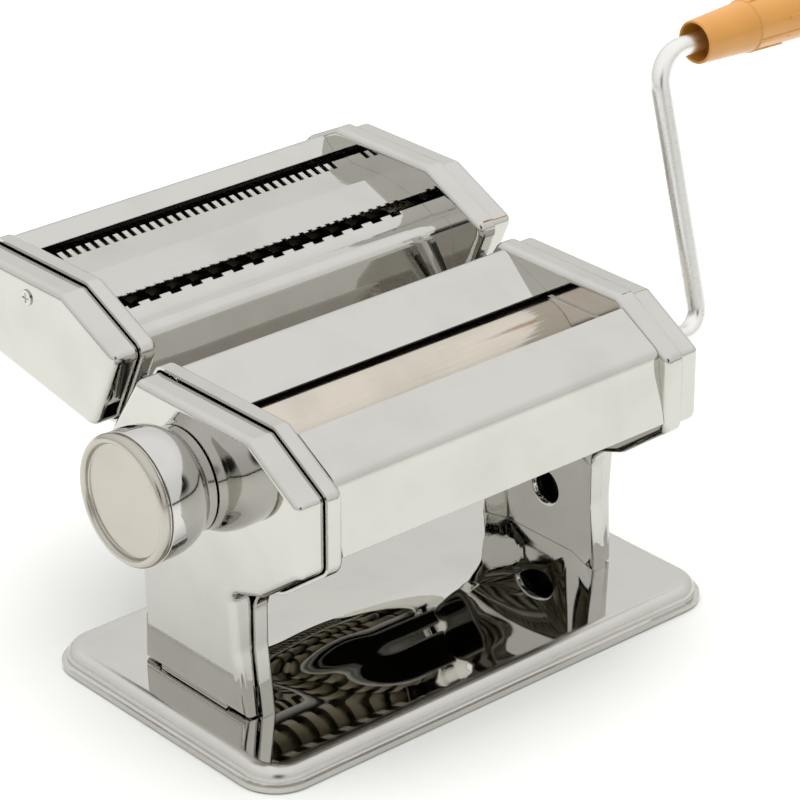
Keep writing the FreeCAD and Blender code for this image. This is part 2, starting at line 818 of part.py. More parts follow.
# bushes
bush = []
bore = []
for side in (-1, 1):
    centre = ("front_axis_y", "front_axis_z")
    bush.append(rod(side, "wall_in", f"{PLATE_OUT} + bush_long", "bush_radius", *centre))
    bush.append(rod(side, PLATE_OUT, f"{PLATE_OUT} + bush_flange_thick", "bush_flange", *centre))
    bore.append(rod(side, "wall_in - 1", f"{PLATE_OUT} + bush_long + 1", "journal + running", *centre))
keep(less(bush, bore), "front_roller_bushes")
centre = ("regulator_y", "regulator_z")
keep(less([rod(-1, f"{DISC_FAR} + slack", LID_FACE, "regulator_bush_radius", *centre),
           rod(-1, f"{LID_IN} - 1.5", LID_IN, "regulator_bush_flange", *centre)],
          [rod(-1, DISC_FAR, f"{LID_FACE} + 1", "shaft_radius + running", *centre)]), "regulator_bush")
centre = ("front_axis_y", "front_axis_z")
keep(less([rod(1, f"{LID_IN} - 0.1", LID_FACE, "eyelet_radius", *centre),
           rod(1, LID_FACE, f"{LID_FACE} + 1.2", "eyelet_flange", *centre)],
          [rod(1, f"{LID_IN} - 1", f"{LID_FACE} + 2", "eyelet_bore", *centre)]), "crank_bush")
centre = ("regulator_y", "regulator_z + index_circle")
keep(joined([rod(-1, f"{LID_IN} - 1", LID_IN, "index_radius * 1.6", *centre),
             rod(-1, f"{LID_IN} - 0.5", f"{LID_FACE} + index_long", "index_radius", *centre)]),
     "knob_index_pin")


# kneading rollers, their gears and bearing blocks
def roller(node, axis, left_end, right_end):
    owner = body(node)
    turn(owner, [
        (f"-({left_end})", "0"), (f"-({left_end})", "journal"), (f"-({ROLLER_END})", "journal"),
        (f"-({ROLLER_END})", "roller_radius"), (ROLLER_END, "roller_radius"), (ROLLER_END, "journal"),
        (right_end, "journal"), (right_end, "0"),
    ])
    place(owner, "0", f"{axis}_y", f"{axis}_z")
    return owner


def hex_points(corner, turned):
    angles = [f"({60 * k} - {turned})" for k in range(6)]
    return [(f"{corner} * cos{angle}", f"{corner} * sin{angle}") for angle in angles]


def socket(owner, mouth):
    profile = sketch(owner, "YZ_Plane", mouth)
    polygon(profile, hex_points("socket_flats / 1.7320508", "arm_lean"))
    before = owner.Shape.Volume
    extrude(owner, "Pocket", profile, "socket_depth")
    assert owner.Shape.Volume < before - 100


def gear(node, axis, offset, near, teeth, tip, root, tooth_tip, tooth_root, bore, turned):
    owner = body(node)
    flat = sketch(owner, "YZ_Plane", near)
    circle(flat, "0", "0", root)
    extrude(owner, "Pad", flat, "gear_wide")
    profile = sketch(owner, "YZ_Plane", near)
    turned = math.radians(turned)
    corners = []
    base = f"({root} - 1)"
    flank = ((base, tooth_root), (tip, tooth_tip))
    for reach, half in flank + ((tip, f"-{tooth_tip}"), (base, f"-{tooth_root}")):
        corners.append((
            f"{math.cos(turned):.6f} * {reach} - {math.sin(turned):.6f} * ({half}) / 2",
            f"{math.sin(turned):.6f} * {reach} + {math.cos(turned):.6f} * ({half}) / 2",
        ))
    polygon(profile, corners)
    tooth = extrude(owner, "Pad", profile, "gear_wide")
    ring = owner.newObject("PartDesign::PolarPattern", node + "_teeth")
    ring.Originals = [tooth]
    ring.Axis = (origin(owner, "X_Axis"), [""])
    ring.Angle = 360
    ring.Occurrences = teeth
    owner.Tip = ring
    doc.recompute()
    hole = sketch(owner, "YZ_Plane", near)
    circle(hole, "0", "0", bore)
    before = owner.Shape.Volume
    extrude(owner, "Pocket", hole, "gear_wide", reverse=True)
    assert owner.Shape.Volume < before - 100
    place(owner, "0", f"{axis}_y + {offset}", f"{axis}_z")
    return owner


front = roller("front_roller", "front_axis", f"{PLATE_OUT} + bush_long", SOCKET_MOUTH)
socket(front, SOCKET_MOUTH)
roller("rear_roller", "rear_axis", f"{BLOCK_NEAR} + block_thin - slack / 2", f"{GEAR_NEAR} + gear_wide + 0.5")
rise = read("rear_axis_z - front_axis_z")
run = read("rear_axis_y - front_axis_y")
lean = math.degrees(math.atan2(rise, run))
gear("front_roller_gear", "front_axis", "0", GEAR_NEAR, 16, "gear_tip", "gear_root", "tooth_tip",
     "tooth_root", "journal + press", lean)
gear("rear_roller_gear", "rear_axis", "0", GEAR_NEAR, 16, "gear_tip", "gear_root", "tooth_tip",
     "tooth_root", "journal + press", lean + 180 + 360 / 32)

for word, side, thick in (("left", -1, "block_thick"), ("right", 1, "block_thin")):
    owner = body(word + "_bearing_block")
    near = BLOCK_NEAR if side > 0 else f"-({BLOCK_NEAR})"
    profile = sketch(owner, "YZ_Plane", near)
    polygon(profile, [
        ("block_front", "block_low"), ("block_rear", "block_low"), ("block_rear", "block_shoulder"),
        ("block_mid", "block_slope"), ("block_mid", "block_high"), ("block_front", "block_high"),
    ])
    extrude(owner, "Pad", profile, thick, reverse=side < 0)
    holes = sketch(owner, "YZ_Plane", near)
    circle(holes, "rear_axis_y", "rear_axis_z", "journal + running")
    circle(holes, "bar_y", "bar_z", "bar_spigot + press")
    extrude(owner, "Pocket", holes, "block_thin", reverse=side > 0)
    if side < 0:
        slot = sketch(owner, "YZ_Plane", f"-({BLOCK_NEAR} + block_thick)")
        polygon(slot, [(f"rear_axis_y {sy} (pin_radius + sliding)", f"regulator_z {sz} pin_slot_half")
                       for sy, sz in (("-", "-"), ("+", "-"), ("+", "+"), ("-", "+"))])
        before = owner.Shape.Volume
        extrude(owner, "Pocket", slot, "pin_slot_deep", reverse=True)
        assert owner.Shape.Volume < before - 50
spigot_end = f"{BLOCK_NEAR} + block_thin - slack"
keep(joined([rod(1, f"-({BLOCK_NEAR})", BLOCK_NEAR, "bar_radius", "bar_y", "bar_z"),
             rod(1, f"-({spigot_end})", spigot_end, "bar_spigot", "bar_y", "bar_z")]),
     "carriage_tie_bar")

# thickness regulator: shaft with eccentric pin, knob, spring and screw
shaft = body("regulator_shaft")
turn(shaft, [
    (f"-({DISC_NEAR})", "0"), (f"-({DISC_NEAR})", "disc_radius"), (f"-({DISC_FAR})", "disc_radius"),
    (f"-({DISC_FAR})", "shaft_radius"), (f"-({KNOB_NEAR} - 0.2)", "shaft_radius"),
    (f"-({KNOB_NEAR} - 0.2)", "0"),
])
profile = sketch(shaft, "YZ_Plane", f"-({KNOB_NEAR} - 0.3)")
rectangle(profile, "square / 2", "square / 2")
extrude(shaft, "Pad", profile, "square_end - 0.3", reverse=True)
profile = sketch(shaft, "YZ_Plane", f"-({DISC_NEAR} + 0.5)")
circle(profile, "-throw * sin(start_angle)", "throw * cos(start_angle)", "pin_radius")
extrude(shaft, "Pad", profile, "pin_long + disc_gap + 0.5")
profile = sketch(shaft, "YZ_Plane", f"-({KNOB_NEAR} - 0.6 + square_end)")
circle(profile, "0", "0", "knob_screw_radius + press")
before = shaft.Shape.Volume
extrude(shaft, "Pocket", profile, "square_end / 2", reverse=True)
assert shaft.Shape.Volume < before - 40
place(shaft, "0", "regulator_y", "regulator_z")

KNOB_FAR = KNOB_NEAR + " + knob_long"
HUB_FAR = KNOB_NEAR + " + knob_hub"
SQUARE_FAR = KNOB_NEAR + " + square_end - 0.6"
barrel = body("knob_barrel")
turn(barrel, [(f"-({x})", radius) for x, radius in (
    (KNOB_NEAR, "0"), (KNOB_NEAR, "index_circle - index_radius - slack"),
    (f"{LID_FACE} + index_long + slack", "index_circle - index_radius - slack"),
    (f"{LID_FACE} + index_long + slack", "index_circle + index_radius + slack"),
    (KNOB_NEAR, "index_circle + index_radius + slack"),
    (KNOB_NEAR, "index_circle + 6.2"), (f"{KNOB_NEAR} + 3.1", "index_circle + 6.2"),
    (f"{KNOB_NEAR} + 4.6", "index_circle + 7.3"), (f"{KNOB_NEAR} + 6.6", "index_circle + 8.5"),
    (f"{KNOB_NEAR} + 10.6", "index_circle + 10"), (f"{KNOB_NEAR} + 14.6", "index_circle + 10.6"),
    (f"{KNOB_FAR} - 0.6", "index_circle + 10.6"), (f"{KNOB_FAR} - 0.6", "index_circle + 9.6"),
    (KNOB_FAR, "index_circle + 9.6"), (KNOB_FAR, "knob_bore"), (HUB_FAR, "knob_bore"), (HUB_FAR, "0"),
)])
profile = sketch(barrel, "YZ_Plane", f"-({KNOB_NEAR})")
rectangle(profile, "square / 2 + 0.15", "square / 2 + 0.15")
before = barrel.Shape.Volume
extrude(barrel, "Pocket", profile, "knob_hub")
assert barrel.Shape.Volume < before - 100
place(barrel, "0", "regulator_y", "regulator_z")

cap = body("knob_cap")
turn(cap, [(f"-({KNOB_FAR} + {x})", radius) for x, radius in (
    (-2.5, "knob_bore - 1.6"), (-2.5, "knob_bore - press"),
    (0, "knob_bore - press"), (0, "index_circle + 10"),
    (0.6, "index_circle + 10.6"), (1.5, "index_circle + 10.8"), (3.0, "index_circle + 10.2"),
    (3.8, "index_circle + 9"), (3.8, "index_circle + 8.2"), (2.6, "index_circle + 7"),
    (1.6, "index_circle + 6.6"), (1.6, "0"), (0.4, "0"), (0.4, "knob_bore - 1.6"),
)])
place(cap, "0", "regulator_y", "regulator_z")

coil = doc.addObject("Part::Helix", "coil_path")
bind(coil, "Radius", "spring_radius")
bind(coil, "Height", f"({SQUARE_FAR}) - ({HUB_FAR}) - 2 * spring_wire")
bind(coil, "Pitch", f"(({SQUARE_FAR}) - ({HUB_FAR}) - 2 * spring_wire) / spring_turns")
ring = doc.addObject("Part::Circle", "coil_section")
bind(ring, "Radius", "spring_wire")
ring.Placement = Placement(Vector(), Rotation(Vector(1, 0, 0), 90))
bind(ring, "Placement.Base.x", "spring_radius")
spring = doc.addObject("Part::Sweep", "knob_spring")
spring.Sections = [ring]
spring.Spine = (coil, ["Edge1"])
spring.Solid = True
spring.Frenet = True
spring.Placement = Placement(Vector(), Rotation(Vector(0, 1, 0), -90))
place(spring, f"-({HUB_FAR} + spring_wire)", "regulator_y", "regulator_z")
keep(spring, "knob_spring")

centre = ("regulator_y", "regulator_z")
keep(joined([rod(-1, SQUARE_FAR, f"{SQUARE_FAR} + 0.8", "spring_radius + spring_wire", *centre),
             rod(-1, f"{SQUARE_FAR} + 0.5", f"{SQUARE_FAR} + 2.6", "knob_screw_radius + 2.2", *centre),
             rod(-1, f"{SQUARE_FAR} - square_end / 3", f"{SQUARE_FAR} + 1", "knob_screw_radius", *centre)]),
     "knob_retaining_screw")

# crank
crank = body("crank_rod")
flat = sketch(crank, "YZ_Plane", f"{SOCKET_MOUTH} - socket_depth + hex_gap")
polygon(flat, hex_points("hex_flats / 1.7320508", "0"))
extrude(crank, "Pad", flat, "socket_depth - hex_gap + 1")
route = sketch(crank, "XZ_Plane")
ROD_START = f"{SOCKET_MOUTH} + 0.5"
ROD_END = "grip_end - 6"
stops = [(ROD_START, "0"), ("arm_x", "0"), ("arm_x", "arm_long"), (ROD_END, "arm_long")]
spots = [Vector(read(x), read(z), 0) for x, z in stops]
turns = [read("lower_bend"), read("upper_bend")]
upright_way = Vector(0, 0, 1)
lower = [spots[1] - Vector(turns[0], 0, 0), spots[1] + Vector(0, turns[0], 0)]
upper = [spots[2] - Vector(0, turns[1], 0), spots[2] + Vector(turns[1], 0, 0)]
route.addGeometry([
    Part.LineSegment(spots[0], lower[0]),
    Part.ArcOfCircle(Part.Circle(lower[0] + Vector(0, turns[0], 0), upright_way, turns[0]), -math.pi / 2, 0),
    Part.LineSegment(lower[1], upper[0]),
    Part.ArcOfCircle(Part.Circle(upper[0] + Vector(turns[1], 0, 0), upright_way, turns[1]),
                     math.pi / 2, math.pi),
    Part.LineSegment(upper[1], spots[3]),
], False)
route.addConstraint([
    Sketcher.Constraint("Tangent", 0, 2, 1, 1), Sketcher.Constraint("Tangent", 1, 2, 2, 1),
    Sketcher.Constraint("Tangent", 2, 2, 3, 2), Sketcher.Constraint("Tangent", 3, 1, 4, 1),
    Sketcher.Constraint("Horizontal", 0), Sketcher.Constraint("Vertical", 2),
    Sketcher.Constraint("Horizontal", 4),
])
limits = (
    (Sketcher.Constraint("DistanceX", -1, 1, 0, 1, spots[0].x), ROD_START),
    (Sketcher.Constraint("DistanceY", -1, 1, 0, 1, 0.0), "0"),
    (Sketcher.Constraint("DistanceX", -1, 1, 2, 1, spots[1].x), "arm_x"),
    (Sketcher.Constraint("DistanceX", -1, 1, 4, 2, spots[3].x), ROD_END),
    (Sketcher.Constraint("DistanceY", -1, 1, 4, 2, spots[3].y), "arm_long"),
    (Sketcher.Constraint("Radius", 1, turns[0]), "lower_bend"),
    (Sketcher.Constraint("Radius", 3, turns[1]), "upper_bend"),
)
for limit, text in limits:
    bind(route, f"Constraints[{route.addConstraint(limit)}]", text)
section = sketch(crank, "YZ_Plane", ROD_START)
circle(section, "0", "0", "rod_radius")
doc.recompute()
pipe = crank.newObject("PartDesign::AdditivePipe", "crank_bar")
pipe.Profile = section
pipe.Spine = (route, [f"Edge{index}" for index in range(1, 6)])
doc.recompute()
crank.Placement = Placement(Vector(), Rotation(Vector(-1, 0, 0), read("arm_lean")))
bind(crank, "Placement.Rotation.Angle", "arm_lean")
place(crank, "0", "front_axis_y", "front_axis_z")

GRIP_Y = "front_axis_y + arm_long * sin(arm_lean)"
GRIP_Z = "front_axis_z + arm_long * cos(arm_lean)"
RETAINER = ROD_END + " - retainer_thick"
grip = body("crank_grip")
turn(grip, [
    ("grip_start", "grip_mouth"), ("grip_start", "8"), ("grip_start + 25", "9.4"),
    ("grip_start + 25.6", "10.2"), ("grip_start + 52.5", "11.2"),
    ("grip_start + 74", "12.3"), ("grip_end - 9", "12.0"),
    ("grip_end - 2.5", "9.5"), ("grip_end", "6.5"), ("grip_end", "0"),
    ("grip_end - 3", "0"), ("grip_end - 3", "retainer_radius + slack"),
    (f"{RETAINER} - slack / 2", "retainer_radius + slack"),
    (f"{RETAINER} - slack / 2", "rod_radius + running"),
    ("grip_start + 10", "rod_radius + running"), ("grip_start + 10", "grip_mouth"),
])
place(grip, "0", GRIP_Y, GRIP_Z)
retainer_end = f"{RETAINER} + retainer_thick"
keep(less([rod(1, RETAINER, retainer_end, "retainer_radius", GRIP_Y, GRIP_Z)],
          [rod(1, f"{RETAINER} - 1", f"{retainer_end} + 1", "rod_radius + press", GRIP_Y, GRIP_Z)]),
     "grip_retainer")

# hanger rails on the roller housing and the cutter's end plates
rail_x = read("rail_x")
head = read("rail_head") / 2
web = read("rail_web") / 2
thick = read("rail_thick")
low = read("rail_low")
high = read("rail_high")
wall = read("wall")
top_corner = Vector(main_plate[0][0], main_plate[0][1], 0)
rear_corner = Vector(main_plate[1][0], main_plate[1][1], 0)
main_way = (top_corner - rear_corner).normalize()
main_out = Vector(main_way.y, -main_way.x, 0)


def on_flange(point, distance):
    """The point of the roller housing's rear edge beside a point, moved outwards."""
    spot = Vector(point[0], point[1], 0)
    found = rear_corner + main_way * (spot - rear_corner).dot(main_way) + main_out * distance
    return (found.x, found.y)


for word, side in (("left", -1), ("right", 1)):
    inner_face = wall + 0.3
    outer_face = inner_face + thick
    ends = [rail_point(low, inner_face), rail_point(high, inner_face)]
    feet = [on_flange(ends[1], 0.0), on_flange(ends[0], 0.0)]
    raised = [on_flange(ends[1], 1.0), on_flange(ends[0], 1.0)]
    web_part = slab(ends + feet, side * (rail_x - web), side * 2 * web)
    head_part = slab([rail_point(low, inner_face), rail_point(high, inner_face), rail_point(high, outer_face),
                      rail_point(low, outer_face)], side * (rail_x - head), side * 2 * head)
    foot_part = slab(feet + raised[::-1], side * (rail_x - head), side * 2 * head)
    made_by_hand(word + "_hanger_rail", web_part.fuse([head_part, foot_part]).removeSplitter())

    outer, cavity = pan(cutter_plate, side, rim_end, wall_in, wall, read("fold"))
    shape = outer.cut(cavity)
    play = 0.3
    slot_end = high + play
    way_in = [rail_point(-30, -5), rail_point(slot_end, -5), rail_point(slot_end, outer_face + play),
              rail_point(-30, outer_face + play)]
    holes = [slab(way_in, side * (rail_x - web - play), side * 2 * (web + play))]
    holes.append(slab([rail_point(-30, wall + 0.05), rail_point(slot_end, wall + 0.05),
                       rail_point(slot_end, outer_face + play), rail_point(-30, outer_face + play)],
                      side * (rail_x - head - play), side * 2 * (head + play)))
    for y, z in (("wide_y", "wide_z"), ("wide_y + cutter_pitch", "wide_z"),
                 ("narrow_y", "narrow_z"), ("narrow_y + cutter_pitch", "narrow_z")):
        holes.append(tube(side, wall_in - 1, plate_out + 1, read("cutter_bush_radius"), read(y), read(z)))
    for y, z in cutter_ties:
        holes.append(tube(side, wall_in - 1, plate_out + 1, read("cutter_thread + press"), y, z))
    made_by_hand(word + "_cutter_plate", shape.cut(holes).removeSplitter())

    outer, cavity = pan(cutter_lid, side, lid_open, lid_face, read("lid_wall"), read("lid_fold"))
    holes = [tube(side, lid_open, lid_face + 1, read("cutter_screw_radius + press"),
                  read("cutter_screw_y"), read("cutter_screw_z"))]
    if side > 0:
        for y, z in (("wide_y", "wide_z"), ("narrow_y + cutter_pitch", "narrow_z")):
            holes.append(tube(side, lid_open, lid_face + 1, read("socket_flats / 2 + 1.6"), read(y), read(z)))
    made_by_hand(word + "_cutter_cover", outer.cut(cavity).cut(holes))


# cutter sheets with their combs
def comb(owner, name, start, way, pitch, notch, count):
    """Notches cut into the edge of a sheet, a row centred between the end plates."""
    profile = sketch(owner, "XY_Plane", f"{name}_z_{start}x - 8")
    half = f"({pitch} * {notch} / 2)"
    first = f"(-{pitch} * {(count - 1) / 2})"
    edge = f"{name}_y_{start}x + {way}"
    polygon(profile, [(f"{first} - {half}", edge), (f"{first} + {half}", edge),
                      (f"{first} + {half}", f"{edge} + 12"), (f"{first} - {half}", f"{edge} + 12")])
    before = owner.Shape.Volume
    cut = extrude(owner, "Pocket", profile, "20", reverse=True)
    assert owner.Shape.Volume < before - 1
    along(owner, cut, f"{pitch} * {count - 1}", count)


front_sheet = bent_sheet("front_cutter_sheet", "front_sheet", -1, [(1, "panel * 5", True)])
comb(front_sheet, "front_sheet", 2, "4.3", "wide_step", "0.5", 14)
centre_sheet = bent_sheet("centre_cutter_sheet", "centre_sheet", -1, [(1, "panel * 2", True)])
comb(centre_sheet, "centre_sheet", 2, "0.0", "narrow_step", "0.5", 33)
comb(centre_sheet, "centre_sheet", 0, "-11.0", "narrow_step", "0.5", 33)
bent_sheet("rear_cutter_sheet", "rear_sheet", -1, [(1, "panel * 3", True)])

# cutter rods, bushes, posts and screws
rod_steps = (("wall_in", "cutter_rod"), (f"{PLATE_OUT} + cutter_nut_thick + 0.8", "cutter_thread"))
keep(joined([rod(1, f"-({x})", x, radius, y, z) for y, z in path("cutter_tie") for x, radius in rod_steps]),
     "cutter_tie_rods")
nuts = []
bores = []
bush = []
bush_bores = []
posts = []
post_bores = []
screws = []
for side in (-1, 1):
    for y, z in path("cutter_tie"):
        nuts.append(hexagon(side, PLATE_OUT, f"{PLATE_OUT} + cutter_nut_thick", "cutter_nut_corner", y, z))
        bores.append(rod(side, "wall_in", f"{PLATE_OUT} + cutter_nut_thick + 2", "cutter_thread + press",
                         y, z))
    for y, z in (("wide_y", "wide_z"), ("wide_y + cutter_pitch", "wide_z"),
                 ("narrow_y", "narrow_z"), ("narrow_y + cutter_pitch", "narrow_z")):
        bush.append(rod(side, "wall_in", "wall_in + cutter_bush_long", "cutter_bush_radius", y, z))
        bush.append(rod(side, PLATE_OUT, "wall_in + cutter_bush_long", "cutter_bush_flange", y, z))
        bush_bores.append(rod(side, "wall_in - 1", "wall_in + cutter_bush_long + 1",
                              "cutter_journal + running", y, z))
    centre = ("cutter_screw_y", "cutter_screw_z")
    posts.append(rod(side, PLATE_OUT, LID_IN, "cutter_post_radius", *centre))
    post_bores.append(rod(side, f"{LID_IN} - 7", f"{LID_IN} + 1", "cutter_screw_radius + press", *centre))
    screws.append(rod(side, f"{LID_IN} - 6", LID_FACE, "cutter_screw_radius", *centre))
    screws.append(rod(side, LID_FACE, f"{LID_FACE} + cutter_head", "cutter_head_radius", *centre))
keep(less(nuts, bores), "cutter_tie_rod_nuts")
keep(less(bush, bush_bores), "cutter_bushes")
keep(less(posts, post_bores), "cutter_cover_posts")
recess = []
for side in (-1, 1):
    far = f"{LID_FACE} + cutter_head + 1"
    near = f"{LID_FACE} + cutter_head - cutter_recess"
    x = (near, far) if side > 0 else (f"-({far})", f"-({near})")
    for long, short in ((1.8, 0.35), (0.35, 1.8)):
        recess.append(box(x, (f"cutter_screw_y - {long}", f"cutter_screw_y + {long}"),
                          (f"cutter_screw_z - {short}", f"cutter_screw_z + {short}")))
keep(less(screws, recess), "cutter_cover_screws")


# cutting rollers and their gears
def cutting_roller(node, y, z, step, disc, count, driven):
    owner = body(node)
    far = SOCKET_MOUTH if driven else f"{CUTTER_GEAR_NEAR} + gear_wide + 0.5"
    near = "wall_in + cutter_bush_long + 0.6"
    end = "wall_in - cutter_end"
    turn(owner, [
        (f"-({near})", "0"), (f"-({near})", "cutter_journal"), (f"-({end})", "cutter_journal"),
        (f"-({end})", "cutter_root"), (end, "cutter_root"), (end, "cutter_journal"),
        (far, "cutter_journal"), (far, "0"),
    ])
    profile = sketch(owner, "YZ_Plane", f"-{step} * {(count - 1) / 2} - {disc} / 2")
    circle(profile, "0", "0", "cutter_tip")
    ring = extrude(owner, "Pad", profile, disc)
    along(owner, ring, f"{step} * {count - 1}", count)
    if driven:
        socket(owner, far)
    place(owner, "0", y, z)


cutting_roller("wide_cutter_front", "wide_y", "wide_z", "wide_step", "wide_disc", 14, True)
cutting_roller("wide_cutter_rear", "wide_y + cutter_pitch", "wide_z", "wide_step", "wide_disc", 15, False)
cutting_roller("narrow_cutter_front", "narrow_y", "narrow_z", "narrow_step", "narrow_disc", 32, False)
cutting_roller("narrow_cutter_rear", "narrow_y + cutter_pitch", "narrow_z",
               "narrow_step", "narrow_disc", 33, True)
for axis in ("wide", "narrow"):
    for word, offset, turned in (("front", "0", 0), ("rear", "cutter_pitch", 195)):
        gear(f"{axis}_{word}_gear", axis, offset, CUTTER_GEAR_NEAR, 12, "cutter_gear_tip", "cutter_root",
             "cutter_tooth_tip", "cutter_tooth_root", "cutter_journal + press", turned)

doc.recompute()
failed = [item.Name for item in doc.Objects if {"Invalid", "Error"} & set(item.State)]
for owner in nodes:
    if owner.Shape.isNull() or not owner.Shape.isValid():
        failed.append(owner.Label)
if failed:
    raise SystemExit(f"failed: {failed}")
for owner in nodes:
    owner.Shape.exportStep(f"parts/{owner.Label}.step")
    print(f"{owner.Label}: {len(owner.Shape.Solids)} solids, {owner.Shape.Volume:.1f} mm3")
print(len(nodes), "nodes")
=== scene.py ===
import json
import math

import bpy
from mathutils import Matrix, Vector

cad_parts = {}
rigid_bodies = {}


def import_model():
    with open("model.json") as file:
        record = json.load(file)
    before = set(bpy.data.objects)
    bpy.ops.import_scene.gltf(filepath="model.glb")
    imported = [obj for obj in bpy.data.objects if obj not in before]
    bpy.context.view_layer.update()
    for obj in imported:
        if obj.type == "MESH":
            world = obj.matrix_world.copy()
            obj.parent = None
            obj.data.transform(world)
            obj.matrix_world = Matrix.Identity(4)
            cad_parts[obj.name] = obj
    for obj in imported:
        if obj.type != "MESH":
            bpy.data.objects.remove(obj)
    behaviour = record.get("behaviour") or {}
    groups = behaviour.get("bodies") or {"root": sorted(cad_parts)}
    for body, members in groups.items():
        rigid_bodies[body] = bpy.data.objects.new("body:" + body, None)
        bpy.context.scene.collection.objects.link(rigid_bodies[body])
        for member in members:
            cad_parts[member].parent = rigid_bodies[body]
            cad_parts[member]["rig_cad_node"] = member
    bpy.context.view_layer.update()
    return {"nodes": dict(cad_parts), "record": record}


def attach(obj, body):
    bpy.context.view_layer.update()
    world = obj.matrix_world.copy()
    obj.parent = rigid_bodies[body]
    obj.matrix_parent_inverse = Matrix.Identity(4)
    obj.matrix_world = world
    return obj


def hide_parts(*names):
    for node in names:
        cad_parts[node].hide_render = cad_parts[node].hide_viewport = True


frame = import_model()
nodes = frame["nodes"]
record = frame["record"]
scene = bpy.context.scene
print("frame loaded:", len(nodes), "nodes")

slotOf = {part["node"]: part["material_slot"] for part in record["subparts"]}
bodyOf = {}
for body, members in record["behaviour"]["bodies"].items():
    for member in members:
        bodyOf[member] = body

weld = 0.00001  # metres: vertices closer than this are one
crease = 32  # degrees: a sharper bend than this keeps its edge


def metres(size):  # from mm
    return size / 1000


def hexColor(code, shade=1.0):  # sRGB hex to the linear colour that shaders take
    values = []
    for i in (0, 2, 4):
        c = int(code[i:i + 2], 16) / 255
        linear = c / 12.92 if c <= 0.04045 else ((c + 0.055) / 1.055) ** 2.4
        values.append(linear * shade)
    return (*values, 1.0)


def addNode(tree, kind, settings=None, links=None):
    node = tree.nodes.new(kind)
    for name, value in (settings or {}).items():
        if isinstance(name, int) or name in node.inputs:
            node.inputs[name].default_value = value
        else:
            setattr(node, name, value)
    for name, source in (links or {}).items():
        tree.links.new(source, node.inputs[name])
    return node


def newMaterial(name, values):
    material = bpy.data.materials.new(name)
    material.use_nodes = True
    tree = material.node_tree
    shader = tree.nodes["Principled BSDF"]
    for socket, value in values.items():
        shader.inputs[socket].default_value = value
    return material, tree, shader


def pick(piece):
    if bpy.context.object and bpy.context.object.mode != "OBJECT":
        bpy.ops.object.mode_set(mode="OBJECT")
    bpy.ops.object.select_all(action="DESELECT")
    if piece:
        piece.select_set(True)
        bpy.context.view_layer.objects.active = piece


# shared by every plated surface; a look below adds what differs
plating = {
    "wave detail": 1.0, "wipe scale": (60.0, 900.0, 900.0), "wipe detail": 3.0, "wipe from": (0.35, 0.7),
    "patch scale": 45.0, "patch detail": 4.0, "patch from": (0.45, 0.75),
    "edge samples": 3, "edge from": (0.98, 0.8), "edge rough": 0.12,
}


def pressedChrome(name, look):
    # chromium plate over pressed steel: a warm mirror with slow waves from the press, fine wiping
    # marks, a thin film in patches, and edges where the polish has gone dull
    material, tree, shader = newMaterial(name, {"Metallic": 1.0})
    place = addNode(tree, "ShaderNodeTexCoord")
    slow = addNode(tree, "ShaderNodeTexNoise",
                   {"Scale": look["wave scale"], "Detail": plating["wave detail"]},
                   {"Vector": place.outputs["Object"]})
    stretch = addNode(tree, "ShaderNodeMapping", {"Scale": plating["wipe scale"]},
                      {"Vector": place.outputs["Object"]})
    wipes = addNode(tree, "ShaderNodeTexNoise", {"Scale": 1.0, "Detail": plating["wipe detail"]},
                    {"Vector": stretch.outputs["Vector"]})
    patches = addNode(tree, "ShaderNodeTexNoise",
                      {"Scale": plating["patch scale"], "Detail": plating["patch detail"]},
                      {"Vector": place.outputs["Object"]})
    film = addNode(tree, "ShaderNodeMapRange",
                   {"From Min": plating["patch from"][0], "From Max": plating["patch from"][1]},
                   {"Value": patches.outputs["Fac"]})
    edge = addNode(tree, "ShaderNodeBevel", {"Radius": look["edge"], "samples": plating["edge samples"]})
    flat = addNode(tree, "ShaderNodeNewGeometry")
    turn = addNode(tree, "ShaderNodeVectorMath", {"operation": "DOT_PRODUCT"},
                   {0: edge.outputs["Normal"], 1: flat.outputs["Normal"]})
    worn = addNode(tree, "ShaderNodeMapRange",
                   {"From Min": plating["edge from"][0], "From Max": plating["edge from"][1]},
                   {"Value": turn.outputs["Value"]})
    color = addNode(tree, "ShaderNodeMix",
                    {"data_type": "RGBA", 6: hexColor(look["tint"]),
                     7: hexColor(look["tint"], 1 - look["film"])},
                    {0: film.outputs["Result"]})
    polish = addNode(tree, "ShaderNodeMapRange",
                     {"From Min": plating["wipe from"][0], "From Max": plating["wipe from"][1],
                      "To Min": look["rough"] * (1 - look["wiped"]),
                      "To Max": look["rough"] * (1 + look["wiped"])},
                     {"Value": wipes.outputs["Fac"]})
    dull = addNode(tree, "ShaderNodeMath", {"operation": "MULTIPLY_ADD", 1: plating["edge rough"]},
                   {0: worn.outputs["Result"], 2: polish.outputs["Result"]})
    bump = addNode(tree, "ShaderNodeBump", {"Distance": look["wave"]},
                   {"Height": slow.outputs["Fac"], "Normal": edge.outputs["Normal"]})
    tree.links.new(color.outputs[2], shader.inputs["Base Color"])
    tree.links.new(dull.outputs["Value"], shader.inputs["Roughness"])
    tree.links.new(bump.outputs["Normal"], shader.inputs["Normal"])
    return material


rim = {"rough": 0.22, "X": (0.099, 0.102), "Y": (0.0555, 0.0585)}


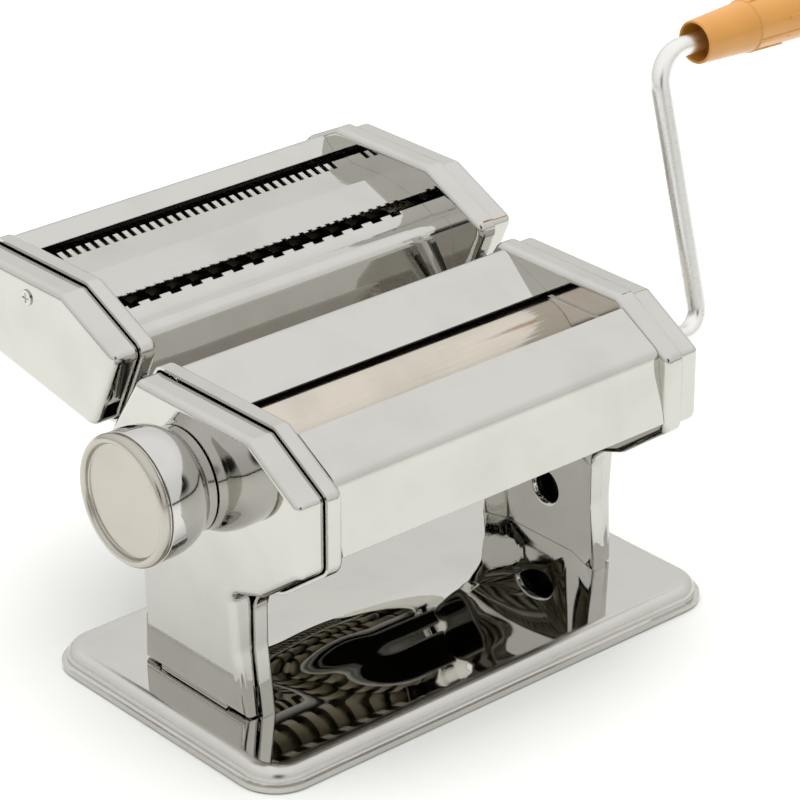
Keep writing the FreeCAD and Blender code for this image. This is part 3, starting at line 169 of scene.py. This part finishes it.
def brushRim(material):
    # the base's rim is brushed, where the deck inside it is a mirror
    tree = material.node_tree
    shader = tree.nodes["Principled BSDF"]
    place = addNode(tree, "ShaderNodeTexCoord")
    axes = addNode(tree, "ShaderNodeSeparateXYZ", None, {"Vector": place.outputs["Object"]})
    beyond = []
    for axis in "XY":
        away = addNode(tree, "ShaderNodeMath", {"operation": "ABSOLUTE"}, {0: axes.outputs[axis]})
        beyond.append(addNode(tree, "ShaderNodeMapRange",
                              {"From Min": rim[axis][0], "From Max": rim[axis][1]},
                              {"Value": away.outputs["Value"]}))
    outside = addNode(tree, "ShaderNodeMath", {"operation": "MAXIMUM"},
                      {0: beyond[0].outputs["Result"], 1: beyond[1].outputs["Result"]})
    polish = shader.inputs["Roughness"].links[0].from_socket
    brushed = addNode(tree, "ShaderNodeMath", {"operation": "MULTIPLY_ADD", 1: rim["rough"]},
                      {0: outside.outputs["Value"], 2: polish})
    tree.links.new(brushed.outputs["Value"], shader.inputs["Roughness"])


tooled = {"detail": 2.0, "oiled": 0.75, "rough from": 0.8, "rough to": 1.2, "bump": 0.3,
          "depth": 0.00005}


def plainMetal(name, look):
    # turned or sheared steel without polish: dull metal with short tool lines and an oil film
    material, tree, shader = newMaterial(name, {"Metallic": 1.0})
    place = addNode(tree, "ShaderNodeTexCoord")
    lines = addNode(tree, "ShaderNodeTexNoise", {"Scale": look["lines"], "Detail": tooled["detail"]},
                    {"Vector": place.outputs["Object"]})
    color = addNode(tree, "ShaderNodeMix",
                    {"data_type": "RGBA", 6: hexColor(look["tint"]),
                     7: hexColor(look["tint"], tooled["oiled"])},
                    {0: lines.outputs["Fac"]})
    polish = addNode(tree, "ShaderNodeMapRange",
                     {"To Min": look["rough"] * tooled["rough from"],
                      "To Max": look["rough"] * tooled["rough to"]},
                     {"Value": lines.outputs["Fac"]})
    bump = addNode(tree, "ShaderNodeBump", {"Strength": tooled["bump"], "Distance": tooled["depth"]},
                   {"Height": lines.outputs["Fac"]})
    tree.links.new(color.outputs[2], shader.inputs["Base Color"])
    tree.links.new(polish.outputs["Result"], shader.inputs["Roughness"])
    tree.links.new(bump.outputs["Normal"], shader.inputs["Normal"])
    return material


moulding = {
    "ior": 1.5, "coat rough": 0.1, "cloud scale": 60.0, "cloud detail": 2.0, "cloud shade": 0.86,
    "rough from": 0.85, "rough to": 1.15, "peel scale": 900.0, "bump": 0.15, "depth": 0.0002,
}


def moulded(name, look):
    # moulded plastic: nearly even colour under a faint orange peel left by the mould
    material, tree, shader = newMaterial(name, {"IOR": moulding["ior"], "Coat Weight": look["coat"],
                                                "Coat Roughness": moulding["coat rough"]})
    place = addNode(tree, "ShaderNodeTexCoord")
    cloud = addNode(tree, "ShaderNodeTexNoise",
                    {"Scale": moulding["cloud scale"], "Detail": moulding["cloud detail"]},
                    {"Vector": place.outputs["Object"]})
    peel = addNode(tree, "ShaderNodeTexNoise", {"Scale": moulding["peel scale"]},
                   {"Vector": place.outputs["Object"]})
    color = addNode(tree, "ShaderNodeMix",
                    {"data_type": "RGBA", 6: hexColor(look["tint"]),
                     7: hexColor(look["tint"], moulding["cloud shade"])},
                    {0: cloud.outputs["Fac"]})
    bump = addNode(tree, "ShaderNodeBump", {"Strength": moulding["bump"], "Distance": moulding["depth"]},
                   {"Height": peel.outputs["Fac"]})
    polish = addNode(tree, "ShaderNodeMapRange",
                     {"To Min": look["rough"] * moulding["rough from"],
                      "To Max": look["rough"] * moulding["rough to"]},
                     {"Value": cloud.outputs["Fac"]})
    tree.links.new(color.outputs[2], shader.inputs["Base Color"])
    tree.links.new(bump.outputs["Normal"], shader.inputs["Normal"])
    tree.links.new(polish.outputs["Result"], shader.inputs["Roughness"])
    return material


# long, slightly soft reflections that bend a little on the housing and the cutter
chrome = pressedChrome("polished chrome on pressed steel", {
    "tint": "C6C4BF", "rough": 0.045, "wiped": 0.35, "wave": 0.00012, "wave scale": 22.0,
    "film": 0.07, "edge": 0.0005,
})
# a clear mirror under the machine, with a brushed rim
baseChrome = pressedChrome("mirror chrome on the base", {
    "tint": "C6C4BF", "rough": 0.02, "wiped": 0.35, "wave": 0.0002, "wave scale": 16.0,
    "film": 0.05, "edge": 0.0005,
})
brushRim(baseChrome)
# a softer mirror, as spinning leaves it, on the knob's barrel and the cutter's screws
knobChrome = pressedChrome("spun and polished chrome", {
    "tint": "C9C7C4", "rough": 0.09, "wiped": 0.35, "wave": 0.0001, "wave scale": 60.0,
    "film": 0.08, "edge": 0.0003,
})
# an even grey sheen on the knob's rolled cap
capChrome = pressedChrome("satin chrome of the knob cap", {
    "tint": "B8B3AA", "rough": 0.24, "wiped": 0.06, "wave": 0.00002, "wave scale": 60.0,
    "film": 0.06, "edge": 0.0003,
})
# a warm, blurred band of light along the kneading rollers
rollerSteel = pressedChrome("ground and plated roller steel", {
    "tint": "CBC2B7", "rough": 0.17, "wiped": 0.35, "wave": 0.00003, "wave scale": 40.0,
    "film": 0.12, "edge": 0.0003,
})
# a pale highlight that follows the crank's bend
rodChrome = pressedChrome("bright chrome on drawn bar", {
    "tint": "E8E7E4", "rough": 0.3, "wiped": 0.1, "wave": 0.00003, "wave scale": 40.0,
    "film": 0.05, "edge": 0.0003,
})
# dull grey on gears, rods, nuts and springs
zinc = plainMetal("zinc plated steel", {"tint": "8E8D8A", "rough": 0.35, "lines": 700.0})
# nearly black, painted shade, so that the far sides of the sheets and the scrapers look deep in the dark
# inside the machine; only the dull sheen is the unpolished steel's own
paintedShadeSteel = plainMetal("unpolished steel painted near black as shade", {"tint": "4A4743", "rough": 0.4, "lines": 300.0})
# oily brown grey between the combs
cutterSteel = plainMetal("machined cutter steel", {"tint": "6B6454", "rough": 0.38, "lines": 900.0})
# milky and soft on the bushes
nylon = moulded("natural nylon", {"tint": "D9D2C2", "rough": 0.5, "coat": 0.0})
# flat black pads under the base
rubber = moulded("black rubber", {"tint": "1C1B1A", "rough": 0.75, "coat": 0.0})
# warm orange brown under a wet highlight on the grip
orange = moulded("glossy caramel plastic", {"tint": "CF9039", "rough": 0.32, "coat": 0.4})
print("materials made")

finishes = {
    "chrome": chrome, "zinc": zinc, "nylon": nylon, "cutter_steel": cutterSteel,
    "knob_metal": knobChrome, "grip_plastic": orange, "rubber": rubber,
}
# the scrapers take the near black steel, painted shade for their place under the rollers
finishOf = {
    "front_roller": rollerSteel, "rear_roller": rollerSteel, "base_plate": baseChrome,
    "knob_cap": capChrome, "front_scraper": paintedShadeSteel, "rear_scraper": paintedShadeSteel,
    "cutter_cover_screws": knobChrome,
}
for name, node in nodes.items():
    node.data.materials.clear()
    node.data.materials.append(finishOf.get(name, finishes[slotOf[name]]))


def dressed(piece, name, material, shadedFaces=None):
    # a made piece takes its CAD node's place; the last argument tells which faces are a sheet's far
    # side, and those are painted near black as shade
    piece.data.materials.clear()
    piece.data.materials.append(material)
    # a sheet's far-side faces get the second, near black material: painted shade
    if shadedFaces:
        piece.data.materials.append(paintedShadeSteel)
        for face in piece.data.polygons:
            if shadedFaces(face.normal):
                face.material_index = 1
    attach(piece, bodyOf[name])
    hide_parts(name)


def smoothed(name, material, shadedFaces=None, shape=None):
    # a copy of the pressed shape with its bends shaded as one surface
    pick(nodes[name])
    bpy.ops.object.duplicate()
    piece = bpy.context.object
    piece.name = name + "_skin"
    piece.parent = None
    del piece["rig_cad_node"]
    bpy.ops.object.mode_set(mode="EDIT")
    bpy.ops.mesh.select_all(action="SELECT")
    bpy.ops.mesh.remove_doubles(threshold=weld)
    bpy.ops.mesh.normals_make_consistent(inside=False)
    if shape:
        shape(piece)
    bpy.ops.object.mode_set(mode="OBJECT")
    bpy.ops.object.shade_smooth_by_angle(angle=math.radians(crease))
    weigh = piece.modifiers.new("weigh", "WEIGHTED_NORMAL")
    weigh.keep_sharp = True
    weigh.weight = 100  # large faces keep flat normals
    bpy.ops.object.modifier_apply(modifier="weigh")
    dressed(piece, name, material, shadedFaces)


# the deck between the legs: each swell is a half length along X, a reach and a rise
deck = {
    "flat": 0.5, "grid": 0.003, "half": (0.075, 0.057), "from": 0.0065, "middle": 0.0001,
    "swells": [(0.0505, 0.0245, 0.0012), (0.024, 0.0505, 0.0034)],
}


def swell(piece):
    # the deck rises a little under the rollers, which bends what it mirrors
    bpy.ops.mesh.dissolve_limited(angle_limit=math.radians(deck["flat"]))
    for axis, half in enumerate(deck["half"]):
        count = round(half / deck["grid"])
        for step in range(-count, count + 1):
            spot = [0.0, 0.0, 0.0]
            way = [0.0, 0.0, 0.0]
            spot[axis] = step * deck["grid"]
            way[axis] = 1.0
            bpy.ops.mesh.select_all(action="SELECT")
            bpy.ops.mesh.bisect(plane_co=spot, plane_no=way)
    bpy.ops.mesh.select_mode(type="VERT")
    for half, reach, rise in deck["swells"]:
        bpy.ops.mesh.select_all(action="DESELECT")
        bpy.ops.object.mode_set(mode="OBJECT")
        for vertex in piece.data.vertices:
            x, y, z = vertex.co
            vertex.select = z > deck["from"] and abs(y) < deck["middle"] and abs(x) < half
        bpy.ops.object.mode_set(mode="EDIT")
        bpy.ops.transform.translate(value=(0, 0, rise), use_proportional_edit=True,
                                    proportional_edit_falloff="SMOOTH", proportional_size=reach)


# which way the far side of a sheet faces; those faces take the near black steel, painted shade for the
# machine's dark inside
shadedSheetSides = {
    "left_outer_cover": lambda normal: normal.x > 0.5,
    "right_outer_cover": lambda normal: normal.x < -0.5,
    "left_cutter_cover": lambda normal: normal.x > 0.5,
    "right_cutter_cover": lambda normal: normal.x < -0.5,
    "front_panel": lambda normal: normal.y > 0.4,
    "rear_hopper_panel": lambda normal: normal.z < -0.3 or normal.y < -0.5,
    "front_cutter_sheet": lambda normal: normal.z < -0.3 or normal.y > 0.5,
    "centre_cutter_sheet": lambda normal: normal.z < -0.3,
    "rear_cutter_sheet": lambda normal: normal.z < -0.3 or normal.y < -0.8,
}
for name in ("left_inner_plate", "right_inner_plate", "left_side_guide", "right_side_guide",
             "left_cutter_plate", "right_cutter_plate"):
    smoothed(name, chrome)
smoothed("crank_rod", rodChrome)
for name, shadedFaces in shadedSheetSides.items():
    smoothed(name, chrome, shadedFaces=shadedFaces)
smoothed("base_plate", baseChrome, shape=swell)
smoothed("rear_roller", rollerSteel)
smoothed("front_roller", rollerSteel)
print("pressed sheet dressed")


def turned(name, path, centre, count, side):
    # rings drawn out one after the other along X, as on a lathe; sizes in mm
    y, z = metres(centre[0]), metres(centre[1])
    pick(None)
    bpy.ops.mesh.primitive_circle_add(vertices=count, radius=metres(path[0][1]),
                                      location=(side * metres(path[0][0]), y, z),
                                      rotation=(0, math.radians(90), 0))
    piece = bpy.context.object
    piece.name = name
    bpy.ops.object.mode_set(mode="EDIT")
    bpy.ops.mesh.select_all(action="SELECT")
    for (lastX, lastR), (x, r) in zip(path, path[1:]):
        move = (side * metres(x - lastX), 0, 0)
        bpy.ops.mesh.extrude_region_move(TRANSFORM_OT_translate={"value": move})
        if r != lastR:
            bpy.ops.transform.resize(value=(1, r / lastR, r / lastR),
                                     center_override=(side * metres(x), y, z))
    if path[0] == path[-1]:
        bpy.ops.mesh.select_all(action="SELECT")
        bpy.ops.mesh.remove_doubles(threshold=weld)
    else:
        bpy.ops.mesh.edge_face_add()
    bpy.ops.object.mode_set(mode="OBJECT")
    bpy.ops.object.transform_apply(location=True, rotation=True, scale=True)
    return piece


def finished(piece, width, angle=crease):
    # small rounds on the sharp rings, then normals outwards and smooth shading
    pick(piece)
    bevel = piece.modifiers.new("round", "BEVEL")
    bevel.width = width
    bevel.segments = 3
    bevel.limit_method = "ANGLE"
    bevel.angle_limit = math.radians(angle)
    bpy.ops.object.modifier_apply(modifier="round")
    bpy.ops.object.mode_set(mode="EDIT")
    bpy.ops.mesh.select_all(action="SELECT")
    bpy.ops.mesh.remove_doubles(threshold=weld / 2)
    bpy.ops.mesh.normals_make_consistent(inside=False)
    bpy.ops.object.mode_set(mode="OBJECT")
    bpy.ops.object.shade_smooth_by_angle(angle=math.radians(angle))


# the knob: a spun barrel with a waist, open behind for the index pin; its centre is y and z, and
# each path goes by x and radius
knob = {
    "centre": (-2.6, 94.5), "count": 96, "round": 0.0003, "mouth": 0.0095,
    "barrel": [
        (96.3, 9.0), (96.3, 16.0), (93.4, 16.0), (93.4, 19.2), (96.4, 19.2), (97.2, 19.5), (98.0, 20.2),
        (98.9, 20.8), (100.0, 21.4), (101.4, 22.1), (103.0, 22.7), (104.8, 23.15), (106.8, 23.45),
        (109.0, 23.6), (115.4, 23.6), (115.4, 22.5), (116.0, 22.5), (116.0, 9.0), (96.3, 9.0),
    ],
    "cap": [
        (116.05, 9.0), (116.05, 22.9), (116.5, 23.5), (117.3, 23.8), (118.2, 23.7), (119.0, 23.3),
        (119.55, 22.7), (119.8, 22.0), (119.8, 21.3), (119.4, 20.7), (118.6, 20.4), (117.7, 20.3),
        (117.6, 19.9), (117.6, 6.0),
    ],
}
barrel = turned("knob_barrel_turned", knob["barrel"], knob["centre"], knob["count"], -1)
finished(barrel, knob["round"])
dressed(barrel, "knob_barrel", knobChrome)
cap = turned("knob_cap_turned", knob["cap"], knob["centre"], knob["count"], -1)
pick(cap)
capBack = -metres(knob["cap"][0][0])
knobY, knobZ = metres(knob["centre"][0]), metres(knob["centre"][1])
for vertex in cap.data.vertices:
    away = math.hypot(vertex.co.y - knobY, vertex.co.z - knobZ)
    vertex.select = abs(vertex.co.x - capBack) < weld and away < knob["mouth"]
bpy.ops.object.mode_set(mode="EDIT")
bpy.ops.mesh.select_mode(type="VERT")
bpy.ops.mesh.edge_face_add()
bpy.ops.object.mode_set(mode="OBJECT")
finished(cap, knob["round"])
dressed(cap, "knob_cap", capChrome)
print("knob turned")

# the grip: a hollow moulded sleeve with ten raised lands behind its collar, two steps apart
grip = {
    "arm": 102.0, "lean": 15.66, "axis": (-38.2, 97.5), "start": 139.5, "count": 90,
    "lands": 10, "apart": 2, "from": 25.8, "to": 76.0, "raise": 0.00045, "round": 0.0004, "crease": 25,
    "path": [
        (10.0, 4.2), (10.0, 7.0), (0.3, 7.1), (0.0, 7.5), (0.0, 7.9), (0.5, 8.2), (12.0, 8.9),
        (25.0, 9.6), (25.3, 10.0), (25.8, 10.2), (40.0, 10.7), (56.0, 11.2), (76.0, 11.75),
        (83.5, 11.6), (87.0, 10.8), (90.0, 9.3), (91.7, 7.4), (92.4, 5.0), (92.4, 0.8),
    ],
}
lean = math.radians(grip["lean"])
gripCentre = (grip["axis"][0] + grip["arm"] * math.sin(lean),
              grip["axis"][1] + grip["arm"] * math.cos(lean))
gripPath = [(grip["start"] + x, r) for x, r in grip["path"]]
sleeve = turned("crank_grip_moulded", gripPath, gripCentre, grip["count"], 1)
pick(sleeve)
period = grip["count"] // grip["lands"]
low, high = metres(grip["start"] + grip["from"]), metres(grip["start"] + grip["to"])
for face in sleeve.data.polygons:
    around = math.atan2(face.center.y - metres(gripCentre[0]), face.center.z - metres(gripCentre[1]))
    step = math.floor(around / (2 * math.pi) * grip["count"]) % period
    face.select = low < face.center.x < high and step < period - grip["apart"]
bpy.ops.object.mode_set(mode="EDIT")
bpy.ops.mesh.select_mode(type="FACE")
bpy.ops.mesh.extrude_region_shrink_fatten(TRANSFORM_OT_shrink_fatten={"value": grip["raise"]})
bpy.ops.object.mode_set(mode="OBJECT")
finished(sleeve, grip["round"], grip["crease"])
dressed(sleeve, "crank_grip", orange)
print("grip moulded")

# each of the sky's stops is a height, a colour and a shade; the card darkens between far and near,
# which say how closely a view runs along its way
studio = {
    "floor": {"size": 24.0, "place": (0.1, 0.1, -0.0006), "tint": "F7F8F5", "rough": 0.9},
    "sky": [(0.0, "3A3833", 1.0), (0.03, "3A3833", 1.0), (0.06, "F4F4F0", 1.0), (0.45, "F8F8F6", 1.05),
            (0.75, "FFFFFF", 1.15), (1.0, "FFFFFF", 1.15)],
    "strength": 1.0,
    "card": {"way": (-0.5, -0.75, 0.35), "far": 0.95, "near": 0.985, "dark": 0.04},
    "lamp": {"place": (0.1, 0.3, 1.3), "target": (0.0, 0.0, 0.1), "size": (1.6, 1.2), "power": 10.0},
    "camera": {"place": (-0.7507, -0.862, 0.6572), "tilt": 63.72, "turn": -41.31, "sensor": 36.0,
               "lens": 162.0},
}


def makeStage(look):
    # a matt white floor that fades into the tent
    bpy.ops.mesh.primitive_plane_add(size=look["size"], location=look["place"])
    floor = bpy.context.object
    floor.name = "studio_floor"
    paint = {"Base Color": hexColor(look["tint"]), "Roughness": look["rough"]}
    floor.data.materials.append(newMaterial("white studio sweep", paint)[0])


def makeWorld(sky, strength, card):
    # a white tent over a dark strip along the horizon, with one dark card behind the camera
    world = bpy.data.worlds.new("studio")
    world.use_nodes = True
    scene.world = world
    tree = world.node_tree
    back = tree.nodes["Background"]
    back.inputs["Strength"].default_value = strength
    way = addNode(tree, "ShaderNodeTexCoord")
    split = addNode(tree, "ShaderNodeSeparateXYZ", None, {"Vector": way.outputs["Generated"]})
    ramp = addNode(tree, "ShaderNodeValToRGB", None, {"Fac": split.outputs["Z"]})
    stops = ramp.color_ramp.elements
    stops.remove(stops[1])
    for index, (spot, tint, shade) in enumerate(sky):
        stop = stops[0] if index == 0 else stops.new(spot)
        stop.position = spot
        stop.color = hexColor(tint, shade)
    aim = Vector(card["way"]).normalized()
    toCard = addNode(tree, "ShaderNodeVectorMath", {"operation": "DOT_PRODUCT", 1: aim},
                     {0: way.outputs["Generated"]})
    shade = addNode(tree, "ShaderNodeMapRange",
                    {"From Min": card["far"], "From Max": card["near"], "To Min": 1.0,
                     "To Max": card["dark"]},
                    {"Value": toCard.outputs["Value"]})
    dark = addNode(tree, "ShaderNodeVectorMath", {"operation": "SCALE"},
                   {0: ramp.outputs["Color"], "Scale": shade.outputs["Result"]})
    tree.links.new(dark.outputs["Vector"], back.inputs["Color"])


def makeLight(look):
    # one wide soft lamp overhead, which the chrome doesn't mirror
    bpy.ops.object.light_add(type="AREA", location=look["place"])
    lamp = bpy.context.object
    lamp.name = "overhead box"
    lamp.data.shape = "RECTANGLE"
    lamp.data.size, lamp.data.size_y = look["size"]
    lamp.data.energy = look["power"]
    lamp.visible_glossy = False
    aim = Vector(look["target"]) - Vector(look["place"])
    lamp.rotation_euler = aim.to_track_quat("-Z", "Y").to_euler()


def makeCamera(look):
    bpy.ops.object.camera_add(location=look["place"],
                              rotation=(math.radians(look["tilt"]), 0.0, math.radians(look["turn"])))
    camera = bpy.context.object
    camera.data.sensor_width = look["sensor"]
    camera.data.lens = look["lens"]
    scene.camera = camera


pick(None)
makeStage(studio["floor"])
makeWorld(studio["sky"], studio["strength"], studio["card"])
makeLight(studio["lamp"])
makeCamera(studio["camera"])
scene.view_settings.view_transform = "Standard"
print("stage set")
